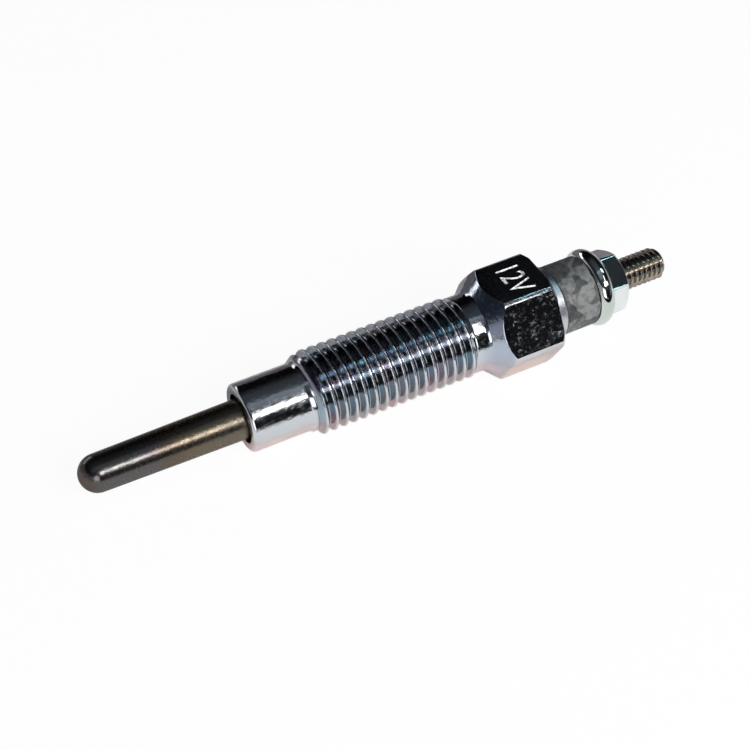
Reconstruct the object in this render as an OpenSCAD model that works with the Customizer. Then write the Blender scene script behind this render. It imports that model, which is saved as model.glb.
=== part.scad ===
// Diesel glow plug with a metal heating tube, an M10 x 1.25 screw-in shell and an M4 terminal stud.
// The plug's axis lies along X, with the stud at +X. The origin is on the axis, at the nose's front face.
// Two flats of the hexagon face up and down, so the plug lies on one of them.
// Threads are drawn as cylinders of their major diameter, with their lead-in and run-out chamfers.
// Under the nut, where two threads mesh, they are drawn at the pitch diameter.

/* [Glow tube] */
// How far the closed tip stands out of the nose
tube_reach = 19; // [16:0.1:26]
// Outside diameter in the shell
tube_d = 4.72; // [4.6:0.02:5]
// Outside diameter where the rounded tip begins
tube_tip_d = 4.38; // [4.2:0.02:4.6]
// Wall of the tube
tube_wall = 0.55; // [0.45:0.01:0.65]
// Thickness of the closed tip, with the weld that holds the coil
tip_wall = 1.3; // [1:0.05:1.8]
// Length of the tube that is pressed into the shell
tube_seat_l = 12.2; // [9:0.1:13.5]

/* [Nose] */
// Diameter of the plain nose
nose_d = 8.06; // [7.6:0.02:8.4]
// Length of the plain nose
nose_l = 7.1; // [6:0.1:9]
// Rounding of the nose's front edge
nose_round = 0.5; // [0.2:0.05:0.8]
// Diameter of the open mouth around the tube
mouth_d = 5.8; // [5.4:0.05:6.4]
// Depth of the open mouth
mouth_l = 4; // [2:0.1:5]

/* [Thread and neck] */
// Major diameter of the screw-in thread
thread_d = 9.88; // [9.7:0.01:10]
// Length of the threaded part, with its chamfers
thread_l = 20.9; // [17:0.1:24]
// Length of the lead-in chamfer at the nose
thread_lead_in = 1.4; // [0.8:0.05:2]
// Diameter of the plain neck before the hexagon
neck_d = 9.4; // [9:0.05:9.6]
// Length of the neck, up to where the hexagon's cone would start
neck_l = 1.5; // [1:0.05:2.5]
// Fillet between the neck and the hexagon's cone
neck_fillet = 1; // [0.4:0.05:1.6]

/* [Hexagon] */
// Width across the flats
hex_af = 12; // [11:0.05:14]
// Length from the start of the front cone to the rear face
hex_l = 8.9; // [7:0.1:12]
// How much the corners are turned down, on the radius
hex_corner_break = 0.13; // [0.05:0.01:0.3]
// Angle of the front cone from the axis
hex_front_angle = 43; // [35:1:50]
// Chamfer of the rear corners
hex_rear_chamfer = 0.45; // [0.2:0.05:0.8]

/* [Rear collar] */
// Diameter of the collar behind the hexagon
collar_d = 8.86; // [8.6:0.02:9.4]
// Length of the collar
collar_l = 1.8; // [1:0.1:3]
// Chamfer of the collar's rear edge
collar_chamfer = 0.2; // [0.1:0.05:0.3]

/* [Insulating bush] */
// Diameter of the bush outside the shell
bush_d = 8.54; // [8:0.02:9]
// Length of the bush outside the shell
bush_l = 4.55; // [3:0.05:7]
// Diameter of its spigot inside the shell
spigot_d = 6.6; // [6:0.05:7]
// Length of its spigot inside the shell
spigot_l = 4.2; // [3:0.1:6]
// Rounding of its edges
bush_round = 0.15; // [0.05:0.05:0.3]

/* [Terminal nut] */
// Diameter over the round bead at the nut's foot
bead_d = 9.58; // [9:0.02:10.5]
// Radius of the bead's section
bead_r = 1.06; // [1:0.02:1.2]
// Length of the bead along the axis
bead_l = 1.95; // [1.8:0.05:2]
// Length of the cone from the bead down to the flats
nut_cone_l = 0.4; // [0.2:0.05:0.6]
// Width across the nut's flats
nut_af = 7; // [6.7:0.05:7.6]
// Length of the nut's hexagon behind the bead
nut_hex_l = 2.5; // [2:0.05:3.3]
// How much the nut's corners are turned down, on the radius
nut_corner_break = 0.06; // [0.03:0.01:0.15]
// Diameter of the rear face inside the corner chamfer, and of the cone's end under the flats
nut_face_d = 6.8; // [6.2:0.05:6.85]
// Angle of the corner chamfer from the rear face
nut_chamfer_angle = 30; // [15:1:35]
// How far the nut has stopped from the shell's hexagon, as an angle round the axis
nut_turn = 32; // [0:1:59]

/* [Centre electrode] */
// Major diameter of the terminal stud
stud_d = 3.92; // [3.8:0.01:4]
// Length of the stud behind the nut
stud_l = 6.4; // [4:0.05:10]
// Chamfer of the stud's end
stud_chamfer = 0.5; // [0.3:0.05:0.7]
// Diameter of the rod through the shell, and pitch diameter of its thread under the nut
rod_d = 3.56; // [3.4:0.02:3.7]
// Diameter of the shank inside the glow tube
shank_d = 2.4; // [2.1:0.05:2.6]
// Turns of the control coil that grip the electrode's front end
grip_turns = 2.5; // [1.5:0.5:4]

/* [Coils] */
// Mean diameter of both coils
coil_d = 2; // [1.8:0.05:2.1]
// Wire of the heating coil
heat_wire_d = 0.36; // [0.3:0.02:0.44]
// Turns of the heating coil
heat_turns = 11; // [8:1:12]
// Pitch of the heating coil
heat_pitch = 0.8; // [0.6:0.02:0.9]
// Wire of the control coil
control_wire_d = 0.32; // [0.28:0.02:0.36]
// Turns of the control coil
control_turns = 14; // [10:1:16]
// Pitch of the control coil
control_pitch = 0.62; // [0.5:0.02:0.7]

/* [Seals] */
// Length of the rubber seal in the tube's open end
seal_l = 2.2; // [1.5:0.1:3]

/* [Fits] */
// Clearance of the rod in the shell, on the radius
rod_gap = 0.45; // [0.3:0.05:0.5]
// Clearance of a sliding fit, on the radius
slide_gap = 0.05; // [0.02:0.01:0.08]
// Clearance of the nut on the stud's thread, on the radius
thread_gap = 0.03; // [0.02:0.01:0.06]
// Clearance of a seal on what it touches
seal_gap = 0.02; // [0.01:0.01:0.03]

/* [Hidden] */
$fn = 96;
COIL_SIDES = 6;
COIL_RINGS = 12;
// Share of the coil's radius at which an opening coil starts
COIL_START = 0.5;
ARC_STEPS = 8;
EPS = 0.02;

// Places along the axis, from the tip to the stud
tip_x = -tube_reach;
tube_x1 = mouth_l + tube_seat_l;
thread_x0 = nose_l;
thread_x1 = thread_x0 + thread_l;
hex_x0 = thread_x1 + neck_l;
hex_x1 = hex_x0 + hex_l;
collar_x1 = hex_x1 + collar_l;
bush_x1 = collar_x1 + bush_l;
nut_hex_x0 = bush_x1 + bead_l;
nut_x1 = nut_hex_x0 + nut_hex_l;
stud_x1 = nut_x1 + stud_l;

// Radii
tube_r = tube_d / 2;
tip_r = tube_tip_d / 2;
bore_r = tube_r - tube_wall;
tip_bore_r = tip_r - tube_wall;
nose_r = nose_d / 2;
thread_r = thread_d / 2;
neck_r = neck_d / 2;
hex_corner_r = hex_af / 2 / cos(30) - hex_corner_break;
collar_r = collar_d / 2;
bush_r = bush_d / 2;
spigot_r = spigot_d / 2;
bead_peak_r = bead_d / 2;
nut_corner_r = nut_af / 2 / cos(30) - nut_corner_break;
nut_face_r = nut_face_d / 2;
stud_r = stud_d / 2;
rod_r = rod_d / 2;
shank_r = shank_d / 2;
rod_bore_r = rod_r + rod_gap;
recess_r = spigot_r + slide_gap;
coil_r = coil_d / 2;

// Places inside the plug
tip_bore_x = tip_x + tip_wall;
heat_x0 = tip_bore_x + heat_wire_d / 2 + seal_gap;
heat_x1 = heat_x0 + heat_turns * heat_pitch;
control_x1 = heat_x1 + control_turns * control_pitch;
shank_x0 = control_x1 + control_wire_d / 2 + seal_gap;
grip_x0 = control_x1 - grip_turns * control_pitch;
grip_r = (coil_r - control_wire_d / 2) * cos(180 / COIL_RINGS) - seal_gap;
seal_x0 = tube_x1 - seal_l;
rod_x0 = tube_x1 + rod_gap;
spigot_x0 = collar_x1 - spigot_l;
oring_r = (recess_r - rod_r) / 2 - seal_gap;
oring_x = spigot_x0 - seal_gap - oring_r;
recess_x0 = oring_x - oring_r - seal_gap;

// Points of a round stretch of an outline, from angle a0 to a1 round the centre [r, x]
function arc(c, radius, a0, a1) =
    [for (i = [0 : ARC_STEPS]) let (a = a0 + (a1 - a0) * i / ARC_STEPS)
        c + radius * [cos(a), sin(a)]];

// Turns an outline of [radius, place] points round the plug's axis
module turned(outline) {
    rotate([0, 90, 0])
        rotate_extrude()
            polygon(outline);
}

// Straight cylinder on the plug's axis from x0 to x1
module bar(radius, x0, x1) {
    translate([x0, 0, 0])
        rotate([0, 90, 0])
            cylinder(r = radius, h = x1 - x0);
}

// Centre of one ring of a coil as [place, radius, angle], where the first turn may open out from the axis
function coil_ring(x0, pitch, turn, opens) =
    let (share = opens ? min(1, COIL_START + (1 - COIL_START) * turn) : 1)
    [x0 + pitch * turn, coil_r * share, 360 * turn];

// Wire of a coil: rings of points in planes through the axis, joined by triangles
module coil(x0, pitch, turns, wire_r, opens, angle0) {
    last = round(turns * COIL_RINGS);
    points = [
        for (i = [0 : last], j = [0 : COIL_SIDES - 1])
            let (
                ring = coil_ring(x0, pitch, i / COIL_RINGS, opens),
                a = 360 * j / COIL_SIDES,
                r = ring[1] + wire_r * sin(a),
                turn_angle = ring[2] + angle0
            )
            [ring[0] + wire_r * cos(a), r * cos(turn_angle), r * sin(turn_angle)]
    ];
    side_faces = [
        for (i = [0 : last - 1], j = [0 : COIL_SIDES - 1])
            let (
                k = (j + 1) % COIL_SIDES,
                a = i * COIL_SIDES + j,
                b = i * COIL_SIDES + k,
                c = a + COIL_SIDES,
                d = b + COIL_SIDES
            )
            each [[a, c, b], [b, c, d]]
    ];
    end_faces = [
        [for (j = [0 : COIL_SIDES - 1]) j],
        [for (j = [COIL_SIDES - 1 : -1 : 0]) last * COIL_SIDES + j]
    ];
    polyhedron(points, concat(side_faces, end_faces), convexity = 10);
}

// Round blank of the shell: nose, thread, neck, corners of the hexagon and collar in one outline
module shell_blank() {
    fillet_run = neck_fillet * tan(hex_front_angle / 2);
    fillet_c = [neck_r + neck_fillet, hex_x0 - fillet_run];
    cone_l = (hex_corner_r - neck_r) / tan(hex_front_angle);
    turned(concat(
        [[0, 0]],
        arc([nose_r - nose_round, nose_round], nose_round, -90, 0),
        [
            [nose_r, thread_x0],
            [thread_r, thread_x0 + thread_lead_in],
            [thread_r, thread_x1 - (thread_r - neck_r)],
            [neck_r, thread_x1]
        ],
        arc(fillet_c, neck_fillet, 180, 180 - hex_front_angle),
        [
            [hex_corner_r, hex_x0 + cone_l],
            [hex_corner_r, hex_x1 - hex_rear_chamfer],
            [hex_corner_r - hex_rear_chamfer, hex_x1],
            [collar_r, hex_x1],
            [collar_r, collar_x1 - collar_chamfer],
            [collar_r - collar_chamfer, collar_x1],
            [0, collar_x1]
        ]
    ));
}

// All that is milled away from a blank between x0 and x1 to leave six flats, turned round the axis
module flat_cutter(af, x0, x1, turn) {
    translate([x0, 0, 0])
        rotate([turn, 0, 0])
            rotate([0, 90, 0])
                difference() {
                    cylinder(r = af, h = x1 - x0);
                    translate([0, 0, -EPS])
                        rotate(30)
                            cylinder(r = af / 2 / cos(30), h = x1 - x0 + 2 * EPS, $fn = 6);
                }
}

// Open mouth, seat of the glow tube, passage for the rod and recess for the bush
module shell_bore() {
    turned([
        [0, -EPS],
        [mouth_d / 2, -EPS],
        [mouth_d / 2, mouth_l],
        [tube_r, mouth_l],
        [tube_r, tube_x1],
        [rod_bore_r, tube_x1],
        [rod_bore_r, recess_x0],
        [recess_r, recess_x0],
        [recess_r, collar_x1 + EPS],
        [0, collar_x1 + EPS]
    ]);
}

// Zinc-plated steel shell, turned in one piece and milled to a hexagon
module body_shell() {
    color("#C9CED6")
        difference() {
            shell_blank();
            flat_cutter(hex_af, hex_x0, hex_x1 + EPS, 0);
            shell_bore();
        }
}

// Inside of the glow tube, up to a place along the axis
module tube_inside(x1) {
    turned([
        [0, tip_bore_x],
        [tip_bore_r, tip_bore_x],
        [bore_r, 0],
        [bore_r, x1],
        [0, x1]
    ]);
}

// Heat-resisting tube with a round closed tip, open at the rear
module glow_tube() {
    color("#6B5F55")
        difference() {
            turned(concat(
                arc([0, tip_x + tip_r], tip_r, -90, 0),
                [[tube_r, 0], [tube_r, tube_x1], [0, tube_x1]]
            ));
            tube_inside(tube_x1 + EPS);
        }
}

// Heating coil, which opens out from the weld at the tip
module heating_coil() {
    color("#8C8A86")
        coil(heat_x0, heat_pitch, heat_turns, heat_wire_d / 2, true, 0);
}

// Control coil, butted to the heating coil and wound on the electrode's front end
module control_coil() {
    color("#A59C8C")
        coil(heat_x1, control_pitch, control_turns, control_wire_d / 2, false, 360 * heat_turns);
}

// Solid of the electrode's front end and shank, which the powder packs round
module electrode_front() {
    bar(grip_r, grip_x0, shank_x0 + EPS);
    bar(shank_r, shank_x0, rod_x0 + EPS);
}

// Packed magnesium oxide that fills the tube round the coils
module insulating_powder() {
    color("#EFECE4")
        difference() {
            tube_inside(seal_x0);
            heating_coil();
            control_coil();
            electrode_front();
        }
}

// Rubber seal that closes the tube's open end round the shank
module tube_seal() {
    color("#2B2B2D")
        difference() {
            bar(bore_r, seal_x0, tube_x1);
            bar(shank_r, seal_x0 - EPS, tube_x1 + EPS);
        }
}

// Steel rod that carries the current, with the terminal stud as its rear end
module centre_electrode() {
    color("#9A948A")
        union() {
            electrode_front();
            turned([
                [0, rod_x0],
                [shank_r, rod_x0],
                [rod_r, rod_x0 + rod_r - shank_r],
                [rod_r, nut_x1 + slide_gap],
                [stud_r, nut_x1 + slide_gap],
                [stud_r, stud_x1 - stud_chamfer],
                [stud_r - stud_chamfer, stud_x1],
                [0, stud_x1]
            ]);
        }
}

// Ring that seals the rod in the shell, ahead of the bush
module o_ring() {
    ring_r = (rod_r + recess_r) / 2;
    color("#1F1F22")
        translate([oring_x, 0, 0])
            rotate([0, 90, 0])
                rotate_extrude()
                    translate([ring_r, 0])
                        circle(r = oring_r);
}

// Moulded bush that keeps the nut and the stud clear of the shell
module insulating_bush() {
    color("#9B9A9A")
        difference() {
            turned(concat(
                [
                    [0, spigot_x0],
                    [spigot_r, spigot_x0],
                    [spigot_r, collar_x1]
                ],
                arc([bush_r - bush_round, collar_x1 + bush_round], bush_round, -90, 0),
                arc([bush_r - bush_round, bush_x1 - bush_round], bush_round, 0, 90),
                [[0, bush_x1]]
            ));
            bar(stud_r + slide_gap, spigot_x0 - EPS, bush_x1 + EPS);
        }
}

// Round foot of the nut: a bead, and the cone that the flats run out on
module nut_foot() {
    bead_c = [bead_peak_r - bead_r, bush_x1 + bead_l / 2];
    bead_a = asin(bead_l / 2 / bead_r);
    turned(concat(
        [[0, bush_x1]],
        arc(bead_c, bead_r, -bead_a, bead_a),
        [[nut_face_r, nut_hex_x0 + nut_cone_l], [0, nut_hex_x0 + nut_cone_l]]
    ));
}

// Hexagon of the nut, which starts inside the bead, with its rear corners chamfered
module nut_hexagon() {
    x0 = bush_x1 + bead_l / 2;
    difference() {
        turned([
            [0, x0],
            [nut_corner_r, x0],
            [nut_corner_r, nut_x1 - (nut_corner_r - nut_face_r) * tan(nut_chamfer_angle)],
            [nut_face_r, nut_x1],
            [0, nut_x1]
        ]);
        flat_cutter(nut_af, x0 - EPS, nut_x1 + EPS, nut_turn);
    }
}

// Hexagon nut on the stud, with a bead at its foot
module terminal_nut() {
    color("#8D9096")
        difference() {
            union() {
                nut_foot();
                nut_hexagon();
            }
            bar(rod_r + thread_gap, bush_x1 - EPS, nut_x1 + EPS);
        }
}

body_shell();
glow_tube();
heating_coil();
control_coil();
insulating_powder();
tube_seal();
centre_electrode();
o_ring();
insulating_bush();
terminal_nut();
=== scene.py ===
# %% [markdown]
# # A diesel glow plug
# A glow plug is screwed into a cylinder head, and its thin tube glows to warm the air before a cold start.
# The imported CAD model is loaded first, as a fixed frame: every piece below is made where the CAD says it is.

# %% Load the imported model
import bmesh
import bpy
import math
from mathutils import Matrix, Vector


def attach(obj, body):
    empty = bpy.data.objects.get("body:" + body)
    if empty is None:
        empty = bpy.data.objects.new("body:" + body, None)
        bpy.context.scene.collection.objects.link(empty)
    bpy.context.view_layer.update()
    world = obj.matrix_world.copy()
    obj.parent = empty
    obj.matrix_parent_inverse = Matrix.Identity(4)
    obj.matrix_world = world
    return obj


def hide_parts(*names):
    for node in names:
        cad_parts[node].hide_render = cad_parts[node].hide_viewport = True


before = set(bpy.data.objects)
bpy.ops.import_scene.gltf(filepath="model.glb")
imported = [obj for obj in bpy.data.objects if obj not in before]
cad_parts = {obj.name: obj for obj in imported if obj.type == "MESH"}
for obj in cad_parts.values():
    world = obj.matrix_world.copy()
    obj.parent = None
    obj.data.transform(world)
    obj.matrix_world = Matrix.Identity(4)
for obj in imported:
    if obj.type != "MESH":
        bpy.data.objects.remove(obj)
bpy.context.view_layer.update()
scene = bpy.context.scene
scene.view_settings.view_transform = "Standard"
MM = 0.001
print("CAD nodes:", ", ".join(sorted(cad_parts)))

# %% [markdown]
# ## Drawing and turning an outline
# Nearly all of a glow plug is made on a lathe, so each piece starts as half of its section.
# The section could be typed in as a mesh, but a chain that is drawn step by step reads like a lathe drawing:
# a line to a place and a radius, or an arc about a centre. A third number rounds the corner a line ends in.
# A full spin round the X axis then turns the chain, and merging the doubles closes the seam and the poles.
# Sizes here and below are in millimetres, unless a name says otherwise.

# %% Outline and lathe
ROUND_STEPS, ARC_STEPS = 6, 20
SEAM = 0.0005


def on_axis(x, r):
    """Point in the half plane above the axis, from a place and a radius in mm."""
    return Vector((x * MM, 0, r * MM))


def draw_outline(bm, start, moves, closed=False):
    """Draws lines to (x, r) or (x, r, set-back) and arcs ("arc", x, r, degrees) as a chain of edges."""
    first = tip = bm.verts.new(on_axis(*start))
    corners = []
    for move in moves:
        if move[0] == "arc":
            arc = bmesh.ops.spin(bm, geom=[tip], cent=on_axis(*move[1:3]), axis=(0, 1, 0), dvec=(0, 0, 0),
                                 angle=math.radians(move[3]), steps=ARC_STEPS, use_duplicate=False)
            tip = arc["geom_last"][0]
            continue
        old, tip = tip, bm.verts.new(on_axis(*move[:2]))
        bm.edges.new((old, tip))
        if len(move) == 3:
            corners.append((tip, move[2]))
    if closed:
        bm.edges.new((tip, first))
    for corner, set_back in corners:
        bmesh.ops.bevel(bm, geom=[corner], offset=set_back * MM, offset_type="OFFSET", affect="VERTICES",
                        segments=ROUND_STEPS, profile=0.5, material=-1, clamp_overlap=False)


def turn(bm, steps):
    """Spins everything in a bmesh once round the plug's axis."""
    bmesh.ops.spin(bm, geom=bm.verts[:] + bm.edges[:], cent=(0, 0, 0), axis=(1, 0, 0), dvec=(0, 0, 0),
                   angle=math.tau, steps=steps, use_merge=True, use_duplicate=False)
    bmesh.ops.remove_doubles(bm, verts=bm.verts, dist=SEAM * MM)


print("outlines are drawn with", ARC_STEPS, "steps to an arc")

# %% [markdown]
# ## Handing a piece over
# A finished bmesh becomes an object at the origin, with its place in its mesh.
# Its normals are recalculated, edges sharper than a limit stay crisp, and the large faces lead the shading.
# Flat shading would show every facet of a turned face, and smooth shading alone would blur its corners.
# The piece then rides on the plug's one body, and the CAD node that it stands for is hidden.

# %% Make a piece of a bmesh
SHARP_DEG = 32


def make_piece(bm, name, node):
    """Turns a bmesh into an object that stands for a CAD node."""
    bmesh.ops.recalc_face_normals(bm, faces=bm.faces)
    mesh = bpy.data.meshes.new(name)
    bm.to_mesh(mesh)
    open_edges = sum(not edge.is_manifold for edge in bm.edges)
    bm.free()
    mesh.shade_smooth()
    mesh.set_sharp_from_angle(angle=math.radians(SHARP_DEG))
    piece = bpy.data.objects.new(name, mesh)
    scene.collection.objects.link(piece)
    weighted = piece.modifiers.new("large faces lead", "WEIGHTED_NORMAL")
    weighted.keep_sharp = True
    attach(piece, "root")
    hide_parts(node)
    print(name, "has", len(mesh.polygons), "faces and", open_edges, "open edges")
    return piece


print("edges sharper than", SHARP_DEG, "degrees stay crisp")

# %% [markdown]
# ## The shell's turned blank
# The shell is one bar of steel, turned outside and bored through for the tube, the rod and the bush.
# It could be joined from a cylinder for each step, but one outline leaves no inner walls between them.
# The chain starts behind the nose, runs round the front face, through the bore and back over the hexagon
# to the neck. It stays open where the thread will go.

# %% Turn the blank
NOSE_R, NOSE_ROUND, MOUTH_R, MOUTH_L, MOUTH_ROUND = 4.03, 0.5, 2.9, 4.0, 0.08
TUBE_R, TUBE_X1 = 2.36, 16.2
ROD_BORE_R, RECESS_R, RECESS_X0 = 2.23, 3.35, 34.43
THREAD_X0, THREAD_X1 = 7.1, 28.0
NECK_R, NECK_SET_BACK = 4.70, 0.39
HEX_X0, HEX_X1, HEX_CORNER_R, HEX_CHAMFER, HEX_CONE_X1 = 29.5, 38.4, 6.798, 0.45, 31.75
COLLAR_R, COLLAR_X1, COLLAR_CHAMFER = 4.43, 40.2, 0.2
SHELL_STEPS = 96
RIM_GAP = 0.2

shell = bmesh.new()
draw_outline(shell, (THREAD_X0 - RIM_GAP, NOSE_R), [
    (0, NOSE_R, NOSE_ROUND), (0, MOUTH_R, MOUTH_ROUND), (MOUTH_L, MOUTH_R), (MOUTH_L, TUBE_R),
    (TUBE_X1, TUBE_R), (TUBE_X1, ROD_BORE_R), (RECESS_X0, ROD_BORE_R), (RECESS_X0, RECESS_R),
    (COLLAR_X1, RECESS_R), (COLLAR_X1, COLLAR_R - COLLAR_CHAMFER), (COLLAR_X1 - COLLAR_CHAMFER, COLLAR_R),
    (HEX_X1, COLLAR_R), (HEX_X1, HEX_CORNER_R - HEX_CHAMFER), (HEX_X1 - HEX_CHAMFER, HEX_CORNER_R),
    (HEX_CONE_X1, HEX_CORNER_R), (HEX_X0, NECK_R, NECK_SET_BACK), (THREAD_X1 + RIM_GAP, NECK_R)])
turn(shell, SHELL_STEPS)
print("turned blank:", len(shell.faces), "faces")

# %% [markdown]
# ## Milling the hexagon
# A cutter takes six flats off the blank, and each flat meets the front cone in a curve.
# A six-sided prism could be joined to the round parts, but it would not have those curves.
# A plane cut with its outer side cleared does what the cutter does, and filling the cut gives the flat.
# A narrow bevel breaks the flats' edges: it is these edges that catch the light.

# %% Cut six flats
FLATS, HEX_HALF_AF = 6, 6.0
ON_PLANE_M = 1e-9
EDGE_BREAK, EDGE_STEPS = 0.08, 3


def mill_flats(bm, half_width, turn_deg):
    """Cuts six flats at a distance from the axis, the first one turned from the top, and returns them."""
    flats = []
    for side in range(FLATS):
        angle = math.radians(360 / FLATS * side + turn_deg)
        outward = Vector((0, -math.sin(angle), math.cos(angle)))
        cut = bmesh.ops.bisect_plane(bm, geom=bm.verts[:] + bm.edges[:] + bm.faces[:], dist=ON_PLANE_M,
                                     plane_co=outward * half_width * MM, plane_no=outward, clear_outer=True)
        border = [item for item in cut["geom_cut"] if isinstance(item, bmesh.types.BMEdge)]
        flats += bmesh.ops.contextual_create(bm, geom=border)["faces"]
    bmesh.ops.recalc_face_normals(bm, faces=bm.faces)
    return flats


def break_edges(bm, faces):
    """Bevels every edge of some faces, and returns how many there were."""
    edges = list({edge for face in faces for edge in face.edges})
    bmesh.ops.bevel(bm, geom=edges, offset=EDGE_BREAK * MM, offset_type="OFFSET", affect="EDGES",
                    segments=EDGE_STEPS, profile=0.5, material=-1, clamp_overlap=False)
    return len(edges)


flats = mill_flats(shell, HEX_HALF_AF, 0)
print("hexagon:", len(flats), "flats with", break_edges(shell, flats), "edges")

# %% [markdown]
# ## A stamped voltage
# Such a plug carries its voltage on one flat, struck with plain punches.
# A bump in the material could draw it, but then the mesh would have no stamp.
# Here the text is made a wire mesh and laid on the flat, and an inset with depth sinks the characters,
# with the sloping walls that a punch leaves. They then become part of the flat's border, so that the flat
# is filled around them.

# %% Make the characters
STAMP_MIDDLE_X, STAMP_HEIGHT, STAMP_NARROW, STAMP_BOLD = 34.9, 4.3, 0.72, 0.1
STAMP_DEPTH, STAMP_SLOPE = 0.13, 0.13
CURVE_STEPS, STROKE_SEAM = 3, 0.002
STRUCK_SLOT = 1

text = bpy.data.curves.new("rating", "FONT")
text.body = "12V"
text.align_x, text.align_y, text.offset = "CENTER", "CENTER", STAMP_BOLD * MM
text.size, text.fill_mode, text.resolution_u = STAMP_HEIGHT * MM, "NONE", CURVE_STEPS
lettering = bpy.data.objects.new("rating", text)
rating = bmesh.new()
rating.from_mesh(lettering.to_mesh())
bpy.data.objects.remove(lettering)
reading = Matrix(((0, 1, 0), (-STAMP_NARROW, 0, 0), (0, 0, 1))).to_4x4()
on_flat = Matrix.Translation(on_axis(STAMP_MIDDLE_X, HEX_HALF_AF))
bmesh.ops.transform(rating, verts=rating.verts, matrix=on_flat @ reading)
bmesh.ops.remove_doubles(rating, verts=rating.verts, dist=STROKE_SEAM * MM)
bmesh.ops.triangle_fill(rating, edges=rating.edges, use_beauty=True, normal=(0, 0, 1))
rating.normal_update()
bmesh.ops.inset_region(rating, faces=rating.faces, thickness=STAMP_SLOPE * MM, depth=-STAMP_DEPTH * MM,
                       use_boundary=True, use_even_offset=True)
for face in rating.faces:
    face.material_index = STRUCK_SLOT
print("characters:", len(rating.faces), "faces")

# %% Set them in the upper flat
NEAR_TOP, ON_TOP = 0.99, 0.999


def add_bmesh(bm, other):
    """Adds a second bmesh to the first."""
    mesh = bpy.data.meshes.new("joined")
    other.to_mesh(mesh)
    other.free()
    bm.from_mesh(mesh)
    bpy.data.meshes.remove(mesh)


shell.normal_update()
upper = [face for face in shell.faces if face.calc_center_median().z > NEAR_TOP * HEX_HALF_AF * MM]
top_flat = max(upper, key=lambda face: face.calc_area())
rims = list(top_flat.edges)
bmesh.ops.delete(shell, geom=[top_flat], context="FACES_ONLY")
add_bmesh(shell, rating)
rims += [edge for edge in shell.edges if edge.is_boundary and edge not in rims
         and edge.verts[0].co.z > ON_TOP * HEX_HALF_AF * MM]
flat = bmesh.ops.triangle_fill(shell, edges=rims, use_beauty=True, normal=(0, 0, 1))["geom"]
print("stamped", text.body, "in a flat of", len(flat), "faces and edges")

# %% [markdown]
# ## A rolled thread
# The shell's thread is M10 x 1.25 and the stud's is M4 x 0.7, both right-handed. Dies roll them, with
# straight flanks at 60 degrees to each other, a narrow crest and root, and no edge that is quite sharp.
# A displaced cylinder would show steps in its reflections, because its rows of faces cross the ridges.
# Here the section of one ridge is spun along a helix instead, and every row of faces follows the thread.
# Each turn ends where the next one starts, so merging the doubles joins them. Two plane cuts square off
# the ends.

# %% Helical skin
THREAD_STEPS, TURN_SEAM = 96, 0.001
CREST_FLAT, ROOT_FLAT, FLANK_DEG = 0.14, 0.14, 30
CREST_ROUND, ROOT_ROUND = 0.05, 0.06
FLANK = (1 - CREST_FLAT - ROOT_FLAT) / 2


def ridge_section(bm, pitch, major, x0):
    """Draws a ridge and a groove from mid flank to mid flank, with widths that are shares of the pitch."""
    depth = FLANK * pitch / math.tan(math.radians(FLANK_DEG))
    middle, root = major - depth / 2, major - depth
    crest_x = x0 + FLANK / 2 * pitch
    root_x = crest_x + (CREST_FLAT + FLANK) * pitch
    draw_outline(bm, (x0, middle), [
        (crest_x, major, CREST_ROUND * pitch), (crest_x + CREST_FLAT * pitch, major, CREST_ROUND * pitch),
        (root_x, root, ROOT_ROUND * pitch), (root_x + ROOT_FLAT * pitch, root, ROOT_ROUND * pitch),
        (x0 + pitch, middle)])


def thread_skin(pitch, major, crest_x, span, limit):
    """Threaded skin between two places, with a crest at crest_x above the axis and radii held by limit."""
    bm = bmesh.new()
    start = crest_x - (math.ceil((crest_x - span[0]) / pitch) + 1 + (FLANK + CREST_FLAT) / 2) * pitch
    turns = math.ceil((span[1] - start) / pitch) + 1
    ridge_section(bm, pitch, major, start)
    bmesh.ops.spin(bm, geom=bm.verts[:] + bm.edges[:], cent=(0, 0, 0), axis=(1, 0, 0), angle=math.tau,
                   dvec=(pitch * MM / THREAD_STEPS, 0, 0), steps=THREAD_STEPS, use_duplicate=False)
    first_turn = bm.verts[:] + bm.edges[:] + bm.faces[:]
    for index in range(1, turns):
        copy = bmesh.ops.duplicate(bm, geom=first_turn)["geom"]
        bmesh.ops.translate(bm, vec=(index * pitch * MM, 0, 0),
                            verts=[item for item in copy if isinstance(item, bmesh.types.BMVert)])
    bmesh.ops.remove_doubles(bm, verts=bm.verts, dist=TURN_SEAM * MM)
    for place, outward in zip(span, (-1, 1)):
        bmesh.ops.bisect_plane(bm, geom=bm.verts[:] + bm.edges[:] + bm.faces[:], dist=ON_PLANE_M,
                               plane_co=(place * MM, 0, 0), plane_no=(outward, 0, 0), clear_outer=True)
    for vert in bm.verts:
        old = math.hypot(vert.co.y, vert.co.z) / MM
        vert.co.yz = vert.co.yz * (limit(vert.co.x / MM, old) / old)
    return bm


print("threads have", THREAD_STEPS, "steps to a turn")

# %% [markdown]
# ## The screw-in thread
# The thread starts in a cone behind the nose and fades into the neck, as a rolled one does.
# Cutting it off at both ends would be quicker, but it would leave walls across the ridges.
# So the skin's radii are held under that cone at the front, and rise to the neck's radius at the back.
# Its two rims are then bridged to the blank.

# %% Thread the shell
SHELL_PITCH, SHELL_CREST_X, THREAD_R = 1.25, 9.39, 4.94
LEAD_IN, RUN_OUT = 1.4, 0.7
RIM_REACH = 0.01


def join_rims(bm, x0, x1):
    """Bridges the two open rims that lie between two places along the axis."""
    rims = [edge for edge in bm.edges if edge.is_boundary
            and all((x0 - RIM_REACH) * MM < vert.co.x < (x1 + RIM_REACH) * MM for vert in edge.verts)]
    bmesh.ops.bridge_loops(bm, edges=rims)


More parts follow.
